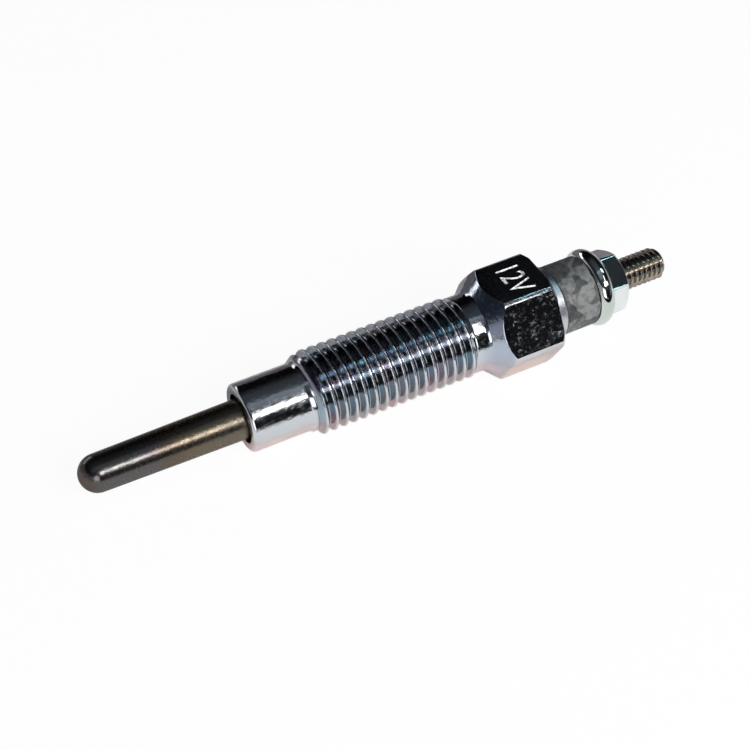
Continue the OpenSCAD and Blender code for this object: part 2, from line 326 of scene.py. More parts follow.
def blend(x, x0, x1):
    """Smooth share from 0 at x0 to 1 at x1."""
    share = min(1, max(0, (x - x0) / (x1 - x0)))
    return share * share * (3 - 2 * share)


def shell_limit(x, r):
    """Radius of the shell's thread, under the lead-in cone and into the neck."""
    cone = NOSE_R + (THREAD_R - NOSE_R) * max(0, x - THREAD_X0) / LEAD_IN
    fade = blend(x, THREAD_X1 - RUN_OUT, THREAD_X1)
    return min(cone, r + (NECK_R - r) * fade)


add_bmesh(shell, thread_skin(SHELL_PITCH, THREAD_R, SHELL_CREST_X, (THREAD_X0, THREAD_X1), shell_limit))
join_rims(shell, THREAD_X0 - RIM_GAP, THREAD_X0)
join_rims(shell, THREAD_X1, THREAD_X1 + RIM_GAP)
shell_piece = make_piece(shell, "threaded_shell", "body_shell")

# %% [markdown]
# ## The glow tube
# The tube is drawn down from a heat-resisting alloy, slightly tapered, with its round tip welded shut.
# A cylinder with a half ball on its end would show a line where they meet. In one outline the tip is
# a quarter arc from the axis that runs on into the taper, and the chain returns along the bore.

# %% Turn the glow tube
TIP_X, TIP_R, TIP_BORE_X = -19.0, 2.19, -17.7
TUBE_WALL, TUBE_END_ROUND = 0.55, 0.1
ROUND_PIECE_STEPS = 96

tube = bmesh.new()
draw_outline(tube, (TIP_X, 0), [
    ("arc", TIP_X + TIP_R, 0, 90), (0, TUBE_R), (TUBE_X1, TUBE_R, TUBE_END_ROUND),
    (TUBE_X1, TUBE_R - TUBE_WALL), (0, TUBE_R - TUBE_WALL), (TIP_BORE_X, TIP_R - TUBE_WALL), (TIP_BORE_X, 0)])
turn(tube, ROUND_PIECE_STEPS)
tube_piece = make_piece(tube, "glow_tube_skin", "glow_tube")

# %% [markdown]
# ## The insulating bush
# A moulded bush keeps the live stud and nut clear of the shell. Its spigot sits in the shell's recess.
# Two cylinders with a hole cut through would do, but a closed outline gives body, spigot and bore in one
# turn, with the rounded rims that a mould leaves.

# %% Turn the bush
SPIGOT_X0, SPIGOT_R = 36.0, 3.3
BUSH_R, BUSH_X1, BUSH_ROUND, BUSH_BORE_R = 4.27, 44.75, 0.15, 2.01

bush = bmesh.new()
draw_outline(bush, (SPIGOT_X0, BUSH_BORE_R), [
    (SPIGOT_X0, SPIGOT_R), (COLLAR_X1, SPIGOT_R), (COLLAR_X1, BUSH_R, BUSH_ROUND),
    (BUSH_X1, BUSH_R, BUSH_ROUND), (BUSH_X1, BUSH_BORE_R)], closed=True)
turn(bush, ROUND_PIECE_STEPS)
bush_piece = make_piece(bush, "moulded_bush", "insulating_bush")

# %% [markdown]
# ## The terminal nut
# A small M4 nut holds the bush down. It has a round bead at its foot, and its flats run out on a cone behind
# the bead. The foot and the hexagon are turned apart, and the hexagon is milled as the shell's was.
# A Boolean union then finds the curves in which the flats meet the cone, which no single turning or cut
# would give. It leaves some vertices twice, so its doubles are merged.

# %% Unite two closed pieces


def unite(first, second):
    """Bmesh of the union of two closed bmeshes."""
    bodies = []
    for bm in (first, second):
        bmesh.ops.recalc_face_normals(bm, faces=bm.faces)
        mesh = bpy.data.meshes.new("half_made")
        bm.to_mesh(mesh)
        bm.free()
        bodies.append(bpy.data.objects.new("half_made", mesh))
        scene.collection.objects.link(bodies[-1])
    union = bodies[0].modifiers.new("union", "BOOLEAN")
    union.operation, union.solver, union.object = "UNION", "EXACT", bodies[1]
    united = bmesh.new()
    united.from_object(bodies[0], bpy.context.evaluated_depsgraph_get())
    bmesh.ops.remove_doubles(united, verts=united.verts, dist=SEAM * MM)
    for mesh in [body.data for body in bodies]:
        bpy.data.objects.remove(bodies.pop(0))
        bpy.data.meshes.remove(mesh)
    return united


print("doubles closer than", SEAM, "mm are merged")

# %% Turn, mill and unite the nut
BEAD_C, BEAD_FOOT_R, BEAD_ARC_DEG = (45.725, 3.73), 4.146, 133.8
CONE_END, COUNTERSINK_R, COUNTERSINK_L = (47.1, 3.4), 2.3, 0.1
NUT_X1, NUT_FACE_R, NUT_BORE_R = 49.2, 3.4, 1.81
NUT_HALF_AF, NUT_CORNER_R, NUT_CHAMFER_X0, NUT_TURN_DEG = 3.5, 3.9815, 48.864, 32
LEVEL, ON_FLAT = 0.01, 0.001

foot = bmesh.new()
draw_outline(foot, (BUSH_X1, COUNTERSINK_R), [
    (BUSH_X1, BEAD_FOOT_R), ("arc", *BEAD_C, BEAD_ARC_DEG), CONE_END, (CONE_END[0], COUNTERSINK_R)],
    closed=True)
turn(foot, ROUND_PIECE_STEPS)
hexagon = bmesh.new()
draw_outline(hexagon, (BUSH_X1 + COUNTERSINK_L, NUT_BORE_R), [
    (BUSH_X1 + COUNTERSINK_L, NUT_CORNER_R), (NUT_CHAMFER_X0, NUT_CORNER_R), (NUT_X1, NUT_FACE_R),
    (NUT_X1, NUT_BORE_R)], closed=True)
turn(hexagon, ROUND_PIECE_STEPS)
mill_flats(hexagon, NUT_HALF_AF, NUT_TURN_DEG)
nut = unite(foot, hexagon)
bmesh.ops.recalc_face_normals(nut, faces=nut.faces)
nut_flats = [face for face in nut.faces if abs(face.normal.x) < LEVEL
             and abs(face.verts[0].co.dot(face.normal) - NUT_HALF_AF * MM) < ON_FLAT * MM]
print("nut:", len(nut_flats), "flats with", break_edges(nut, nut_flats), "edges")
nut_piece = make_piece(nut, "hexagon_nut", "terminal_nut")

# %% [markdown]
# ## The centre electrode
# One steel rod carries the current from the stud to the coils, so the stud and the hidden rod are one piece.
# A threaded sleeve pushed over a rod would leave a wall inside it. So the rod is turned up to the thread,
# the stud's thread is a second skin, a small turned disc closes its end, and the rims are bridged.

# %% Turn and thread the electrode
GRIP_R, GRIP_X0, SHANK_R, SHANK_X0 = 0.791, -1.57, 1.2, 0.16
ROD_R, ROD_X0 = 1.78, 16.65
STUD_R, STUD_X0, STUD_X1, STUD_CHAMFER = 1.96, NUT_X1, 55.6, 0.5
STUD_PITCH, STUD_CREST_X = 0.7, 50.6
STUD_START, STUD_END = 0.35, 0.05


def stud_limit(x, r):
    """Radius of the stud's thread, out of the nut and under the end chamfer."""
    chamfer = STUD_R + STUD_X1 - STUD_CHAMFER - x
    start = blend(x, STUD_X0, STUD_X0 + STUD_START)
    return min(chamfer, ROD_R + (r - ROD_R) * start)


electrode = bmesh.new()
draw_outline(electrode, (GRIP_X0, 0), [
    (GRIP_X0, GRIP_R), (SHANK_X0, GRIP_R), (SHANK_X0, SHANK_R), (ROD_X0, SHANK_R),
    (ROD_X0 + ROD_R - SHANK_R, ROD_R), (STUD_X0 - RIM_GAP, ROD_R)])
draw_outline(electrode, (STUD_X1, STUD_R - STUD_CHAMFER), [(STUD_X1, 0)])
turn(electrode, ROUND_PIECE_STEPS)
stud_span = (STUD_X0, STUD_X1 - STUD_END)
add_bmesh(electrode, thread_skin(STUD_PITCH, STUD_R, STUD_CREST_X, stud_span, stud_limit))
join_rims(electrode, STUD_X0 - RIM_GAP, STUD_X0)
join_rims(electrode, STUD_X1 - STUD_END, STUD_X1)
electrode_piece = make_piece(electrode, "threaded_electrode", "centre_electrode")

# %% [markdown]
# ## Materials
# Colours are written as sRGB hex values, and one function turns them to the linear values Blender works in.
# One more adds a node with its settings and links, so that a material reads as a list of steps. A node that
# is given as the value of a socket is linked by its first output in use. A colour mix has its factor in
# socket 0 and its two colours in sockets 6 and 7.
# Patterns are sized in real millimetres: the coordinates are in metres, so the texture's scale is the
# inverse of the grain in metres. A pixel of the picture covers about 0.11 mm of the plug. A pattern that is
# too fine to show on the real thing is drawn as coarse as it needs to show, and its cell says so.

# %% Material helpers


def colour(hex_value):
    """Linear RGBA of an sRGB hex colour."""
    parts = [int(hex_value[i:i + 2], 16) / 255 for i in (1, 3, 5)]
    return [p / 12.92 if p <= 0.04045 else ((p + 0.055) / 1.055) ** 2.4 for p in parts] + [1]


def grain(size):
    """Texture scale that gives grains of a size in mm."""
    return 1 / (size * MM)


def connect(tree, node, sockets):
    """Sets or links the input sockets of a node: another node stands for its first output in use."""
    for name, value in sockets.items():
        if isinstance(value, bpy.types.Node):
            value = next(output for output in value.outputs if output.enabled)
        if isinstance(value, bpy.types.NodeSocket):
            tree.links.new(value, node.inputs[name])
        else:
            node.inputs[name].default_value = value


def add(tree, kind, sockets=None, **settings):
    """Adds a node with its settings, and sets or links its input sockets."""
    node = tree.nodes.new(kind)
    for name, value in settings.items():
        setattr(node, name, value)
    connect(tree, node, sockets or {})
    return node


def set_ramp(ramp, stops):
    """Gives a colour ramp its (place, hex colour) stops."""
    elements = ramp.color_ramp.elements
    while len(elements) < len(stops):
        elements.new(0.5)
    for element, (place, hex_value) in zip(elements, stops):
        element.position, element.color = place, colour(hex_value)


def new_material(name):
    """A new material, its node tree, its Principled shader and its Object coordinates."""
    material = bpy.data.materials.new(name)
    material.use_nodes = True
    tree = material.node_tree
    shader = tree.nodes["Principled BSDF"]
    where = add(tree, "ShaderNodeTexCoord").outputs["Object"]
    return material, tree, shader, where


print("a grain of 1 mm needs a texture scale of", round(grain(1)))

# %% [markdown]
# ## Zinc plate with a clear blue passivate
# The shell is bright zinc under a passivate film, so thin that its thickness colours it like oil on water.
# Its colour is also painted by height: lighter and rose underneath, as a painted reflection of the white
# sheet, then grey and blue-grey on top.
# Blender's thin film could be used, but its colours are hard to steer. A ramp on the height over the radius
# gives the drift directly, and a coarse noise makes it uneven.

# %% Film colour, painted lighter and rose underneath
FILM_PATCH, FILM_SWAY = 3, 0.5
UNDERSIDE_END, TOPSIDE_END = -0.45, 0.95

zinc, tree, shader, where = new_material("zinc_blue_passivate")
along = add(tree, "ShaderNodeSeparateXYZ", {"Vector": where})
across = add(tree, "ShaderNodeVectorMath", {0: where, 1: (0, 1, 1)}, operation="MULTIPLY")
radius = add(tree, "ShaderNodeVectorMath", {0: across}, operation="LENGTH")
height = add(tree, "ShaderNodeMath", {0: along.outputs["Z"], 1: radius}, operation="DIVIDE")
film = add(tree, "ShaderNodeTexNoise", {"Vector": where, "Scale": grain(FILM_PATCH), "Detail": 3})
tint_by_height = add(tree, "ShaderNodeMath", {0: film, 1: FILM_SWAY, 2: height}, operation="MULTIPLY_ADD")
drift = add(tree, "ShaderNodeMapRange", {"Value": tint_by_height, "From Min": UNDERSIDE_END, "From Max": TOPSIDE_END})
hue = add(tree, "ShaderNodeValToRGB", {"Fac": drift})
# Painted reflection: the lowest stops make the underside lighter and rose, as if it mirrored the white sheet.
set_ramp(hue, [(0.14, "#F6E4E2"), (0.36, "#D8CFCE"), (0.46, "#DADADD"), (0.57, "#DCDEE2"),
               (0.72, "#DEE2E6"), (1.0, "#CBCDD1")])
print("the film drifts through", len(hue.color_ramp.elements), "colours")

# %% [markdown]
# ### The thread's roots are painted darker, as painted shade in the grooves, tinted from mauve to teal; the passivate stayed on the cone, so it is bluer.
# The passivate ran into the thread's roots, and it stayed on the cone, so both are bluer and darker.
# Painting them by hand would tie the colours to one mesh. Instead, spans along the axis say where each part
# of the shell starts or ends, from no effect to the full one, and the roots are found by their radius.

# %% Painted shade in the thread and film on the cone
ROOT_SHADE_RADII = (THREAD_R - 0.05, THREAD_R - 0.2)
SPANS = {
    "thread_starts": (THREAD_X0 + 0.3, THREAD_X0 + 0.8), "thread_lasts": (THREAD_X1 - 0.2, THREAD_X1 - 0.6),
    "cone_starts": (THREAD_X1 - 0.5, HEX_X0 + 0.5), "cone_lasts": (HEX_CONE_X1, HEX_CONE_X1 - 0.4),
    "flats_start": (HEX_CONE_X1, HEX_CONE_X1 + 0.3), "collar_starts": (HEX_X1 + 0.05, HEX_X1 + 0.15),
}
share = {}
for name, (none, full) in SPANS.items():
    share[name] = add(tree, "ShaderNodeMapRange", {"Value": along.outputs["X"], "From Min": none * MM,
                                                   "From Max": full * MM})
in_root = add(tree, "ShaderNodeMapRange", {"Value": radius, "From Min": ROOT_SHADE_RADII[0] * MM,
                                           "From Max": ROOT_SHADE_RADII[1] * MM})
in_thread = add(tree, "ShaderNodeMath", {0: share["thread_starts"], 1: share["thread_lasts"]},
                operation="MULTIPLY")
# Painted shade: the roots are made darker by their radius, with a mauve to teal tint.
root_shade_mask = add(tree, "ShaderNodeMath", {0: in_root, 1: in_thread}, operation="MULTIPLY")
root_shade_tone = add(tree, "ShaderNodeValToRGB", {"Fac": film})
set_ramp(root_shade_tone, [(0.38, "#CCC4CD"), (0.62, "#B6C8CF")])
root_shaded = add(tree, "ShaderNodeMix", {0: root_shade_mask, 6: colour("#FFFFFF"), 7: root_shade_tone}, data_type="RGBA")
on_cone = add(tree, "ShaderNodeMath", {0: share["cone_starts"], 1: share["cone_lasts"]}, operation="MULTIPLY")
blued = add(tree, "ShaderNodeMix", {0: on_cone, 6: root_shaded, 7: colour("#D9E0EA")}, data_type="RGBA")
plated = add(tree, "ShaderNodeMix", {0: 1, 6: hue, 7: blued}, data_type="RGBA", blend_type="MULTIPLY")
print("spans along the shell:", ", ".join(SPANS))

# %% [markdown]
# ### Grain and scuffs
# The plate is grainy, and frosted specks break up its dark reflections. Real plating grain is too fine to
# show, so it is drawn 0.4 mm wide. It is deeper on the turned nose than on the rolled thread.
# The flats below the stamped one are scuffed from handling, and the collar is dull. Single scratches could
# be modelled, but there are hundreds. Lines where a noise crosses its middle value look like scuffs, and
# a second noise breaks them up.

# %% Roughness of the zinc
GRIT, GRIT_STRETCH, GRIT_FROSTS = 0.4, 0.7, (0.5, 0.66)
SMOOTH, FROSTED, SCUFFED, DULL_COLLAR = 0.07, 0.26, 0.2, 0.3
SCRAPE, SCRAPE_EDGE, NOISE_MIDDLE = 0.65, (0.05, 0.01), 0.5
PATCH, PATCH_EDGE = 1.4, (0.47, 0.6)
CLEAN_TOP = (HEX_HALF_AF - 0.05, HEX_HALF_AF - 0.2)

drawn = add(tree, "ShaderNodeMapping", {"Vector": where, "Scale": (GRIT_STRETCH, 1, 1)})
grit = add(tree, "ShaderNodeTexNoise", {"Vector": drawn, "Scale": grain(GRIT), "Detail": 4, "Roughness": 0.6})
specks = add(tree, "ShaderNodeMapRange", {"Value": grit, "From Min": GRIT_FROSTS[0],
                                          "From Max": GRIT_FROSTS[1], "To Min": SMOOTH, "To Max": FROSTED})
scrape = add(tree, "ShaderNodeTexNoise", {"Vector": where, "Scale": grain(SCRAPE), "Detail": 2})
off_line = add(tree, "ShaderNodeMath", {0: scrape, 1: NOISE_MIDDLE}, operation="SUBTRACT")
from_line = add(tree, "ShaderNodeMath", {0: off_line}, operation="ABSOLUTE")
line = add(tree, "ShaderNodeMapRange", {"Value": from_line, "From Min": SCRAPE_EDGE[0],
                                        "From Max": SCRAPE_EDGE[1], "To Max": SCUFFED})
patchy = add(tree, "ShaderNodeTexNoise", {"Vector": where, "Scale": grain(PATCH), "Detail": 3,
                                          "Roughness": 0.7})
broken = add(tree, "ShaderNodeMapRange", {"Value": patchy, "From Min": PATCH_EDGE[0],
                                          "From Max": PATCH_EDGE[1]})
stroke = add(tree, "ShaderNodeMath", {0: line, 1: broken}, operation="MULTIPLY")
below_top = add(tree, "ShaderNodeMapRange", {"Value": along.outputs["Z"], "From Min": CLEAN_TOP[0] * MM,
                                             "From Max": CLEAN_TOP[1] * MM})
handled = add(tree, "ShaderNodeMath", {0: share["flats_start"], 1: below_top}, operation="MULTIPLY")
scuffs = add(tree, "ShaderNodeMath", {0: stroke, 1: handled, 2: specks}, operation="MULTIPLY_ADD")
rough = add(tree, "ShaderNodeMath", {0: share["collar_starts"], 1: DULL_COLLAR, 2: scuffs},
            operation="MULTIPLY_ADD")
print("zinc roughness from", SMOOTH, "to", FROSTED + SCUFFED)

# %% Zinc shader
GRIT_DEPTH, NOSE_RELIEF, THREAD_RELIEF, RELIEF_FADE = 0.065, 0.5, 0.28, 0.5

relief = add(tree, "ShaderNodeMapRange", {
    "Value": along.outputs["X"], "From Min": (THREAD_X0 - RELIEF_FADE) * MM,
    "From Max": (THREAD_X0 + RELIEF_FADE) * MM, "To Min": NOSE_RELIEF, "To Max": THREAD_RELIEF})
bump = add(tree, "ShaderNodeBump", {"Height": grit, "Strength": relief, "Distance": GRIT_DEPTH * MM})
connect(tree, shader, {"Base Color": plated, "Roughness": rough, "Normal": bump, "Metallic": 1,
                       "Specular Tint": colour("#D4D0CC")})
shell_piece.data.materials.append(zinc)
print("zinc:", len(tree.nodes), "nodes")

# %% [markdown]
# ## Struck zinc
# Under a punch the plating is crushed, so the characters are dull and pale against the flat's dark mirror.
# With the shell's own finish they would hardly show. A rough grey that is only partly metal scatters the
# lamps' light instead, and dents of its own make the strokes uneven. Real dents are too fine to show, so
# these are 0.3 mm wide.

# %% Struck characters
DENT, DENT_DEPTH = 0.3, 0.03

struck, tree, shader, where = new_material("struck_zinc")
dents = add(tree, "ShaderNodeTexNoise", {"Vector": where, "Scale": grain(DENT), "Detail": 3})
tone = add(tree, "ShaderNodeValToRGB", {"Fac": dents})
set_ramp(tone, [(0.34, "#66686A"), (0.52, "#FAFAFA")])
bump = add(tree, "ShaderNodeBump", {"Height": dents, "Strength": 0.6, "Distance": DENT_DEPTH * MM})
connect(tree, shader, {"Base Color": tone, "Normal": bump, "Metallic": 0.2, "Roughness": 0.55})
shell_piece.data.materials.append(struck)
print("struck zinc:", len(tree.nodes), "nodes")

# %% [markdown]
# ## Heat-tinted alloy
# The tube has glowed, and its oxide is thicker the hotter it was: straw by the nose, then brown and purple,
# grey in front and reddish at the tip. A single brown would look painted. A ramp along the axis gives the
# bands, a coarse noise makes their borders uneven, and a fine one gives the drawn grain, which is too fine
# to show on the real tube and is 0.3 mm wide here.
# The tip is smoother than the rest. The oxide's own surface adds a whiter reflection, which is a coat.

# %% Heat tint
HOT_X, COLD_X, BAND_PATCH, BAND_SWAY = -17, 3, 3, 5
SKIN, SKIN_DEPTH, SKIN_RANGE, SKIN_ROUGH = 0.3, 0.035, (0.3, 0.7), (0.2, 0.36)
TIP_POLISH, NOSE_POLISH = -0.08, 0.02

tint, tree, shader, where = new_material("heat_tinted_alloy")
along = add(tree, "ShaderNodeSeparateXYZ", {"Vector": where})
drift = add(tree, "ShaderNodeTexNoise", {"Vector": where, "Scale": grain(BAND_PATCH), "Detail": 2})
shifted = add(tree, "ShaderNodeMath", {0: drift, 1: BAND_SWAY * MM, 2: along.outputs["X"]},
              operation="MULTIPLY_ADD")
heat = add(tree, "ShaderNodeMapRange", {"Value": shifted, "From Min": HOT_X * MM, "From Max": COLD_X * MM})
oxide = add(tree, "ShaderNodeValToRGB", {"Fac": heat})
set_ramp(oxide, [(0.03, "#54423C"), (0.12, "#5C5856"), (0.34, "#5A5755"), (0.42, "#5E5356"),
                 (0.5, "#625444"), (0.66, "#6C5E4B"), (0.85, "#6C6253"), (1.0, "#6E6455")])
skin = add(tree, "ShaderNodeTexNoise", {"Vector": where, "Scale": grain(SKIN), "Detail": 5})
gloss = add(tree, "ShaderNodeMapRange", {"Value": skin, "From Min": SKIN_RANGE[0], "From Max": SKIN_RANGE[1],
                                         "To Min": SKIN_ROUGH[0], "To Max": SKIN_ROUGH[1]})
polish = add(tree, "ShaderNodeMapRange", {"Value": along.outputs["X"], "From Min": TIP_X * MM, "From Max": 0,
                                          "To Min": TIP_POLISH, "To Max": NOSE_POLISH})
rough = add(tree, "ShaderNodeMath", {0: gloss, 1: polish}, operation="ADD")
bump = add(tree, "ShaderNodeBump", {"Height": skin, "Strength": 0.7, "Distance": SKIN_DEPTH * MM})
connect(tree, shader, {"Base Color": oxide, "Roughness": rough, "Normal": bump, "Metallic": 1,
                       "Specular Tint": colour("#A8A098"), "Coat Weight": 0.5, "Coat IOR": 1.8,
                       "Coat Roughness": 0.28})
tube_piece.data.materials.append(tint)
print("heat tint:", len(tree.nodes), "nodes")

# %% [markdown]
# ## Grey nylon
# The bush is moulded nylon, slightly clear, with angular patches where the melt froze, and a near-black line
# of painted shade along the nut, where the gap lies in shadow. Light that enters it could be traced, but it
# takes long and the depth hardly shows.
# A part-metallic mix stands in for that depth. The patches are cells on the unrolled surface, mixed with
# the flow marks of a noise.

# %% Nylon
FLOW, FLOW_DEPTH, MELT_PATCH, MELT_SHARE = 0.7, 0.03, 1.7, 0.7
GAP_SHADE_SWAY, GAP_SHADE_EDGE = 0.6, (BUSH_X1 + 0.10, BUSH_X1 + 0.18)

nylon, tree, shader, where = new_material("grey_nylon")
along = add(tree, "ShaderNodeSeparateXYZ", {"Vector": where})
angle = add(tree, "ShaderNodeMath", {0: along.outputs["Y"], 1: along.outputs["Z"]}, operation="ARCTAN2")
around = add(tree, "ShaderNodeMath", {0: angle, 1: BUSH_R * MM}, operation="MULTIPLY")
unrolled = add(tree, "ShaderNodeCombineXYZ", {"X": along.outputs["X"], "Y": around})
flow = add(tree, "ShaderNodeTexNoise", {"Vector": where, "Scale": grain(FLOW), "Detail": 4})
patches = add(tree, "ShaderNodeTexVoronoi", {"Vector": unrolled, "Scale": grain(MELT_PATCH)},
              distance="CHEBYCHEV", voronoi_dimensions="2D")
cell = add(tree, "ShaderNodeSeparateColor", {"Color": patches.outputs["Color"]})
mottle = add(tree, "ShaderNodeMath", {0: cell, 1: MELT_SHARE, 2: flow}, operation="MULTIPLY_ADD")
shade = add(tree, "ShaderNodeValToRGB", {"Fac": mottle})
set_ramp(shade, [(0.4, "#383A3B"), (0.6, "#4B4C4D"), (0.8, "#5A5B5C"), (1.0, "#7C7C7A")])
# Painted shade: a near-black wavy band where the bush meets the nut.
wavy = add(tree, "ShaderNodeMath", {0: flow, 1: GAP_SHADE_SWAY * MM, 2: along.outputs["X"]},
           operation="MULTIPLY_ADD")
gap_shade_mask = add(tree, "ShaderNodeMapRange", {"Value": wavy, "From Min": GAP_SHADE_EDGE[0] * MM,
                                         "From Max": GAP_SHADE_EDGE[1] * MM})
shaded_at_gap = add(tree, "ShaderNodeMix", {0: gap_shade_mask, 6: shade, 7: colour("#141414")}, data_type="RGBA")
bump = add(tree, "ShaderNodeBump", {"Height": flow, "Strength": 0.4, "Distance": FLOW_DEPTH * MM})
connect(tree, shader, {"Base Color": shaded_at_gap, "Normal": bump, "Metallic": 0.3, "Roughness": 0.58})
bush_piece.data.materials.append(nylon)
print("nylon:", len(tree.nodes), "nodes")

# %% [markdown]
# ## Bright plated steel
# The nut is plated bright over a turned surface, so it is nearly a mirror, with faint rings from the tool, and
# its bead is painted a little darker and greener than its flats, as painted shade for the bead's dimmer
# reflection. Rings in the mesh would need very many faces, so a wave
# in the bump draws them. Real ones are too fine to show, so these are half a millimetre apart.
# A wave texture repeats every tau / 20 of its coordinates.

# %% Bright plating
RING, RING_DEPTH, WAVE_PERIOD = 0.4948, 0.005, math.tau / 20
BEAD_FADE = 0.4

bright, tree, shader, where = new_material("bright_plated_steel")
rings = add(tree, "ShaderNodeTexWave", {"Vector": where, "Scale": grain(RING) * WAVE_PERIOD,
                                        "Distortion": 0.5}, wave_type="BANDS", bands_direction="X")
along = add(tree, "ShaderNodeSeparateXYZ", {"Vector": where})
on_flats = add(tree, "ShaderNodeMapRange", {
    "Value": along.outputs["X"], "From Min": (CONE_END[0] - BEAD_FADE) * MM, "From Max": CONE_END[0] * MM})
# Painted shade: the bead's tone is darker and greener than the flats'.
shade = add(tree, "ShaderNodeValToRGB", {"Fac": on_flats})
set_ramp(shade, [(0.0, "#D6DBD4"), (1.0, "#F8FAF8")])
bump = add(tree, "ShaderNodeBump", {"Height": rings.outputs["Fac"], "Strength": 0.1,
                                    "Distance": RING_DEPTH * MM})
connect(tree, shader, {"Base Color": shade, "Normal": bump, "Metallic": 1, "Roughness": 0.09})
nut_piece.data.materials.append(bright)
print("bright plating:", len(tree.nodes), "nodes")

# %% [markdown]
# ## Nickel-plated steel
# The electrode's nickel has a warm tone next to the zinc, and it is dulled a little by rolling.
# One flat colour would do for the small stud, but a cloudy noise keeps its crests from looking alike.

# %% Nickel
CLOUD, CLOUD_DEPTH = 0.6, 0.01

nickel, tree, shader, where = new_material("warm_nickel_plate")
cloud = add(tree, "ShaderNodeTexNoise", {"Vector": where, "Scale": grain(CLOUD), "Detail": 4})
shade = add(tree, "ShaderNodeValToRGB", {"Fac": cloud})
set_ramp(shade, [(0.35, "#958D83"), (0.65, "#BAB1A5")])
bump = add(tree, "ShaderNodeBump", {"Height": cloud, "Strength": 0.2, "Distance": CLOUD_DEPTH * MM})
connect(tree, shader, {"Base Color": shade, "Normal": bump, "Metallic": 1, "Roughness": 0.17,
                       "Specular Tint": colour("#8E877D")})
electrode_piece.data.materials.append(nickel)
print("nickel:", len(tree.nodes), "nodes")

# %% [markdown]
# ## What is inside
# The coils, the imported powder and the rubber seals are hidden, but the model keeps them, so they get their
# finishes too. They could be modelled again, but their CAD shapes are right, so only the material in each
# slot changes: a tone that drifts over a grain of its own, which is drawn coarse enough to show.

# %% Inner finishes
# Each row has a node, its finish, a dark and a light tone, the grain, and how metallic and rough it is.
INNER = [
    ("heating_coil", "iron_chrome_wire", "#6F6A66", "#8E8983", 0.4, 1, 0.35),
    ("control_coil", "nickel_iron_wire", "#9A9284", "#B8AE9C", 0.4, 1, 0.3),
    ("insulating_powder", "packed_magnesia", "#E2DED4", "#F3F0E8", 0.15, 0, 0.9),
    ("tube_seal", "black_fluoro_rubber", "#1E1E20", "#2E2E31", 0.3, 0, 0.6),
    ("o_ring", "black_nitrile_rubber", "#19191B", "#29292C", 0.3, 0, 0.5),
]
for node_name, finish, dark, light, size, metallic, roughness in INNER:
    material, tree, shader, where = new_material(finish)
    cloud = add(tree, "ShaderNodeTexNoise", {"Vector": where, "Scale": grain(size), "Detail": 4})
    shade = add(tree, "ShaderNodeValToRGB", {"Fac": cloud})
    set_ramp(shade, [(0.35, dark), (0.65, light)])
    bump = add(tree, "ShaderNodeBump", {"Height": cloud, "Strength": 0.3, "Distance": CLOUD_DEPTH * MM})
    connect(tree, shader, {"Base Color": shade, "Normal": bump, "Metallic": metallic, "Roughness": roughness})
    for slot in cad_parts[node_name].material_slots:
        slot.material = material
print("inner finishes:", ", ".join(row[1] for row in INNER))

# %% [markdown]
# ## Floor
# The plug lies on a white sheet. It rests on its first full crest and on the front of its lower flat.
# A level plane under the lowest point would leave the nose in the air, so the sheet is a disc that passes
# through both places, and leans a few degrees from the plug's axis.

# %% Lay the floor
CREST_REST, HEX_REST = (8.77, -4.94), (30.89, -6.0)
FLOOR_RADIUS_M, FLOOR_STEPS = 3, 96

lean = math.atan2(HEX_REST[1] - CREST_REST[1], HEX_REST[0] - CREST_REST[0])
disc = bmesh.new()
bmesh.ops.create_circle(disc, cap_ends=True, radius=FLOOR_RADIUS_M, segments=FLOOR_STEPS)
under_plug = Matrix.Translation(on_axis(*CREST_REST)) @ Matrix.Rotation(-lean, 4, "Y")
bmesh.ops.transform(disc, verts=disc.verts, matrix=under_plug)
floor_mesh = bpy.data.meshes.new("white_sheet")
disc.to_mesh(floor_mesh)
disc.free()
floor = bpy.data.objects.new("white_sheet", floor_mesh)
scene.collection.objects.link(floor)
print("floor leans", round(math.degrees(lean), 2), "degrees")

# %% [markdown]
# ### White paper
# The sheet is matt white paper. More light would whiten it, but it would also burn out the metal.
# So it glows white to the camera, and less so in the metal's reflections, and keeps a part of its own
# shading, and with it the plug's shadow. Its fibres are too fine to show, so they are drawn as 2 mm clouds.

# %% Paper
FIBRE = 2
CAMERA_WHITE, MIRROR_WHITE = 0.95, 0.12

paper, tree, shader, where = new_material("white_paper")
fibre = add(tree, "ShaderNodeTexNoise", {"Vector": where, "Scale": grain(FIBRE), "Detail": 2})
sheet_tone = add(tree, "ShaderNodeValToRGB", {"Fac": fibre})
set_ramp(sheet_tone, [(0.3, "#F4F4F4"), (0.7, "#F8F8F8")])
connect(tree, shader, {"Base Color": sheet_tone, "Roughness": 0.9})
rays = add(tree, "ShaderNodeLightPath").outputs
mirror_rays = add(tree, "ShaderNodeMath", {0: rays["Is Glossy Ray"], 1: rays["Is Transmission Ray"]},
                  operation="MAXIMUM")
mirror_share = add(tree, "ShaderNodeMath", {0: mirror_rays, 1: MIRROR_WHITE}, operation="MULTIPLY")
camera_share = add(tree, "ShaderNodeMath", {0: rays["Is Camera Ray"], 1: CAMERA_WHITE}, operation="MULTIPLY")
white_share = add(tree, "ShaderNodeMath", {0: mirror_share, 1: camera_share}, operation="MAXIMUM")
white = add(tree, "ShaderNodeEmission", {"Color": colour("#FFFFFF"), "Strength": 1})
mixed = add(tree, "ShaderNodeMixShader", {0: white_share, 1: shader, 2: white})
connect(tree, tree.nodes["Material Output"], {"Surface": mixed})
floor_mesh.materials.append(paper)
print("paper:", len(tree.nodes), "nodes")

# %% [markdown]
# ## Soft boxes
# Polished metal shows its surroundings more than its own colour, so each lamp stands where a face mirrors it.
# One big lamp would light everything, but it would also fill every flat. Here a fill is hidden from mirror
# reflections, as crossed polarisers hide it, and lights only what is matt. A cool lamp tints the upper side,
# a low one draws the lower edge, and a weak one stands behind.

# %% Fill and edge lamps
MIDDLE_X = 20


